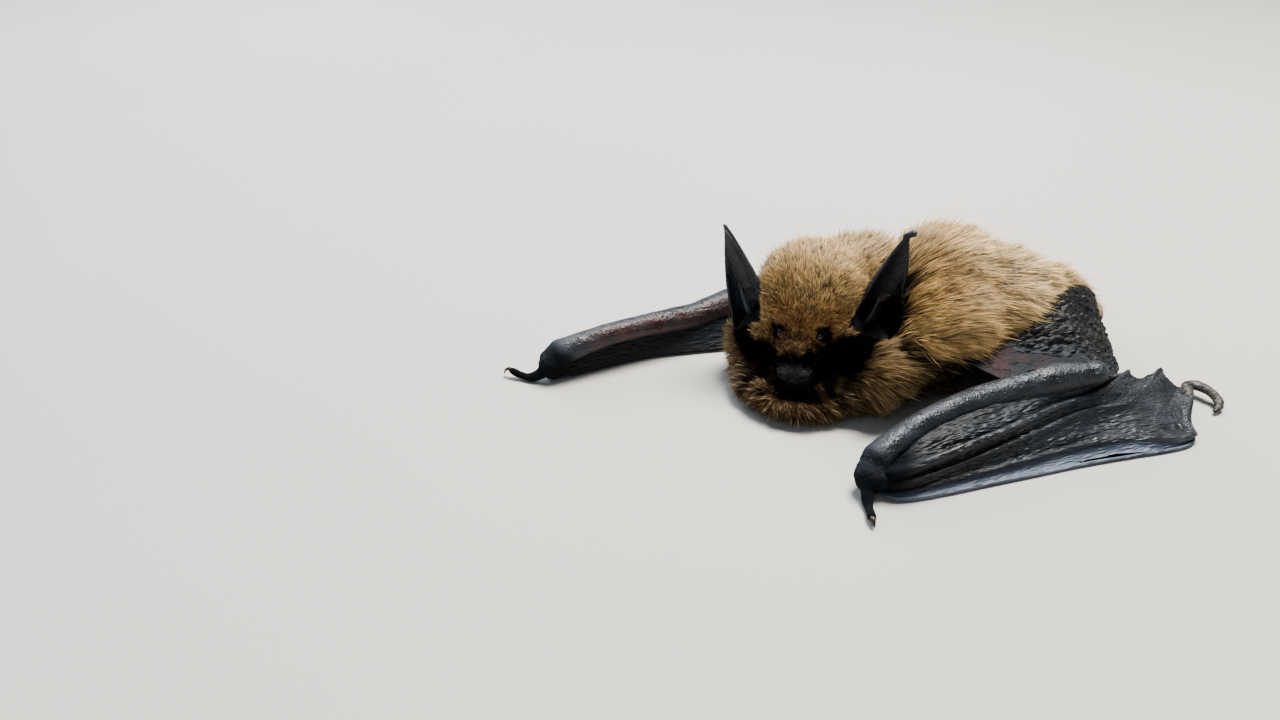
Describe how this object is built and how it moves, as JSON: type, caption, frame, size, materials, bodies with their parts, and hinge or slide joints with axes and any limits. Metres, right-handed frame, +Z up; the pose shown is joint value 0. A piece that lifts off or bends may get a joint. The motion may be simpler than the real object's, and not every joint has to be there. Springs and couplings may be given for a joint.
{
  "type": "small-footed bat",
  "caption": "Life-size still bat crouched on its wrists and belly, wings folded beside it and head turned to its left, ears up.",
  "frame": {"origin": "on the floor under the middle of the belly", "axes": "+Z up; the bat faces -Y and its left side is at +X"},
  "size_m": [0.0492, 0.0756, 0.0196],
  "materials": {
    "back_fur": "long soft fur, golden tan with dark bases",
    "face_skin": "bare black skin, slightly glossy, thinly haired",
    "ear_skin": "thin blackish skin with a faint blue-grey sheen",
    "eye": "wet black",
    "arm_skin": "blackish skin over bone, reddish brown in places, satin",
    "claw": "dark brown horn",
    "finger_skin": "blackish skin over bone, satin",
    "wing_skin": "thin wrinkled blackish membrane, satin"
  },
  "bodies": {
    "root": {"abdomen": "back_fur", "chest": "back_fur", "ear_left": "ear_skin", "ear_right": "ear_skin", "eye_left": "eye", "eye_right": "eye", "finger_2_left": "finger_skin", "finger_2_right": "finger_skin", "finger_3_left": "finger_skin", "finger_3_right": "finger_skin", "finger_4_left": "finger_skin", "finger_4_right": "finger_skin", "finger_5_left": "finger_skin", "finger_5_right": "finger_skin", "flank_web_left": "wing_skin", "flank_web_right": "wing_skin", "foot_left": "arm_skin", "foot_right": "arm_skin", "fore_web_left": "wing_skin", "fore_web_right": "wing_skin", "forearm_left": "arm_skin", "forearm_right": "arm_skin", "hand_web_3_left": "wing_skin", "hand_web_3_right": "wing_skin", "hand_web_4_left": "wing_skin", "hand_web_4_right": "wing_skin", "head": "back_fur", "leg_left": "arm_skin", "leg_right": "arm_skin", "lower_jaw": "face_skin", "muzzle": "face_skin", "neck": "back_fur", "tail": "arm_skin", "tail_web_left": "wing_skin", "tail_web_right": "wing_skin", "throat": "back_fur", "thumb_claw_left": "claw", "thumb_claw_right": "claw", "thumb_left": "arm_skin", "thumb_right": "arm_skin", "tragus_left": "ear_skin", "tragus_right": "ear_skin", "upper_arm_left": "arm_skin", "upper_arm_right": "arm_skin", "wing_tip_left": "finger_skin", "wing_tip_right": "finger_skin", "wrist_left": "arm_skin", "wrist_right": "arm_skin"}
  },
  "joints": []
}
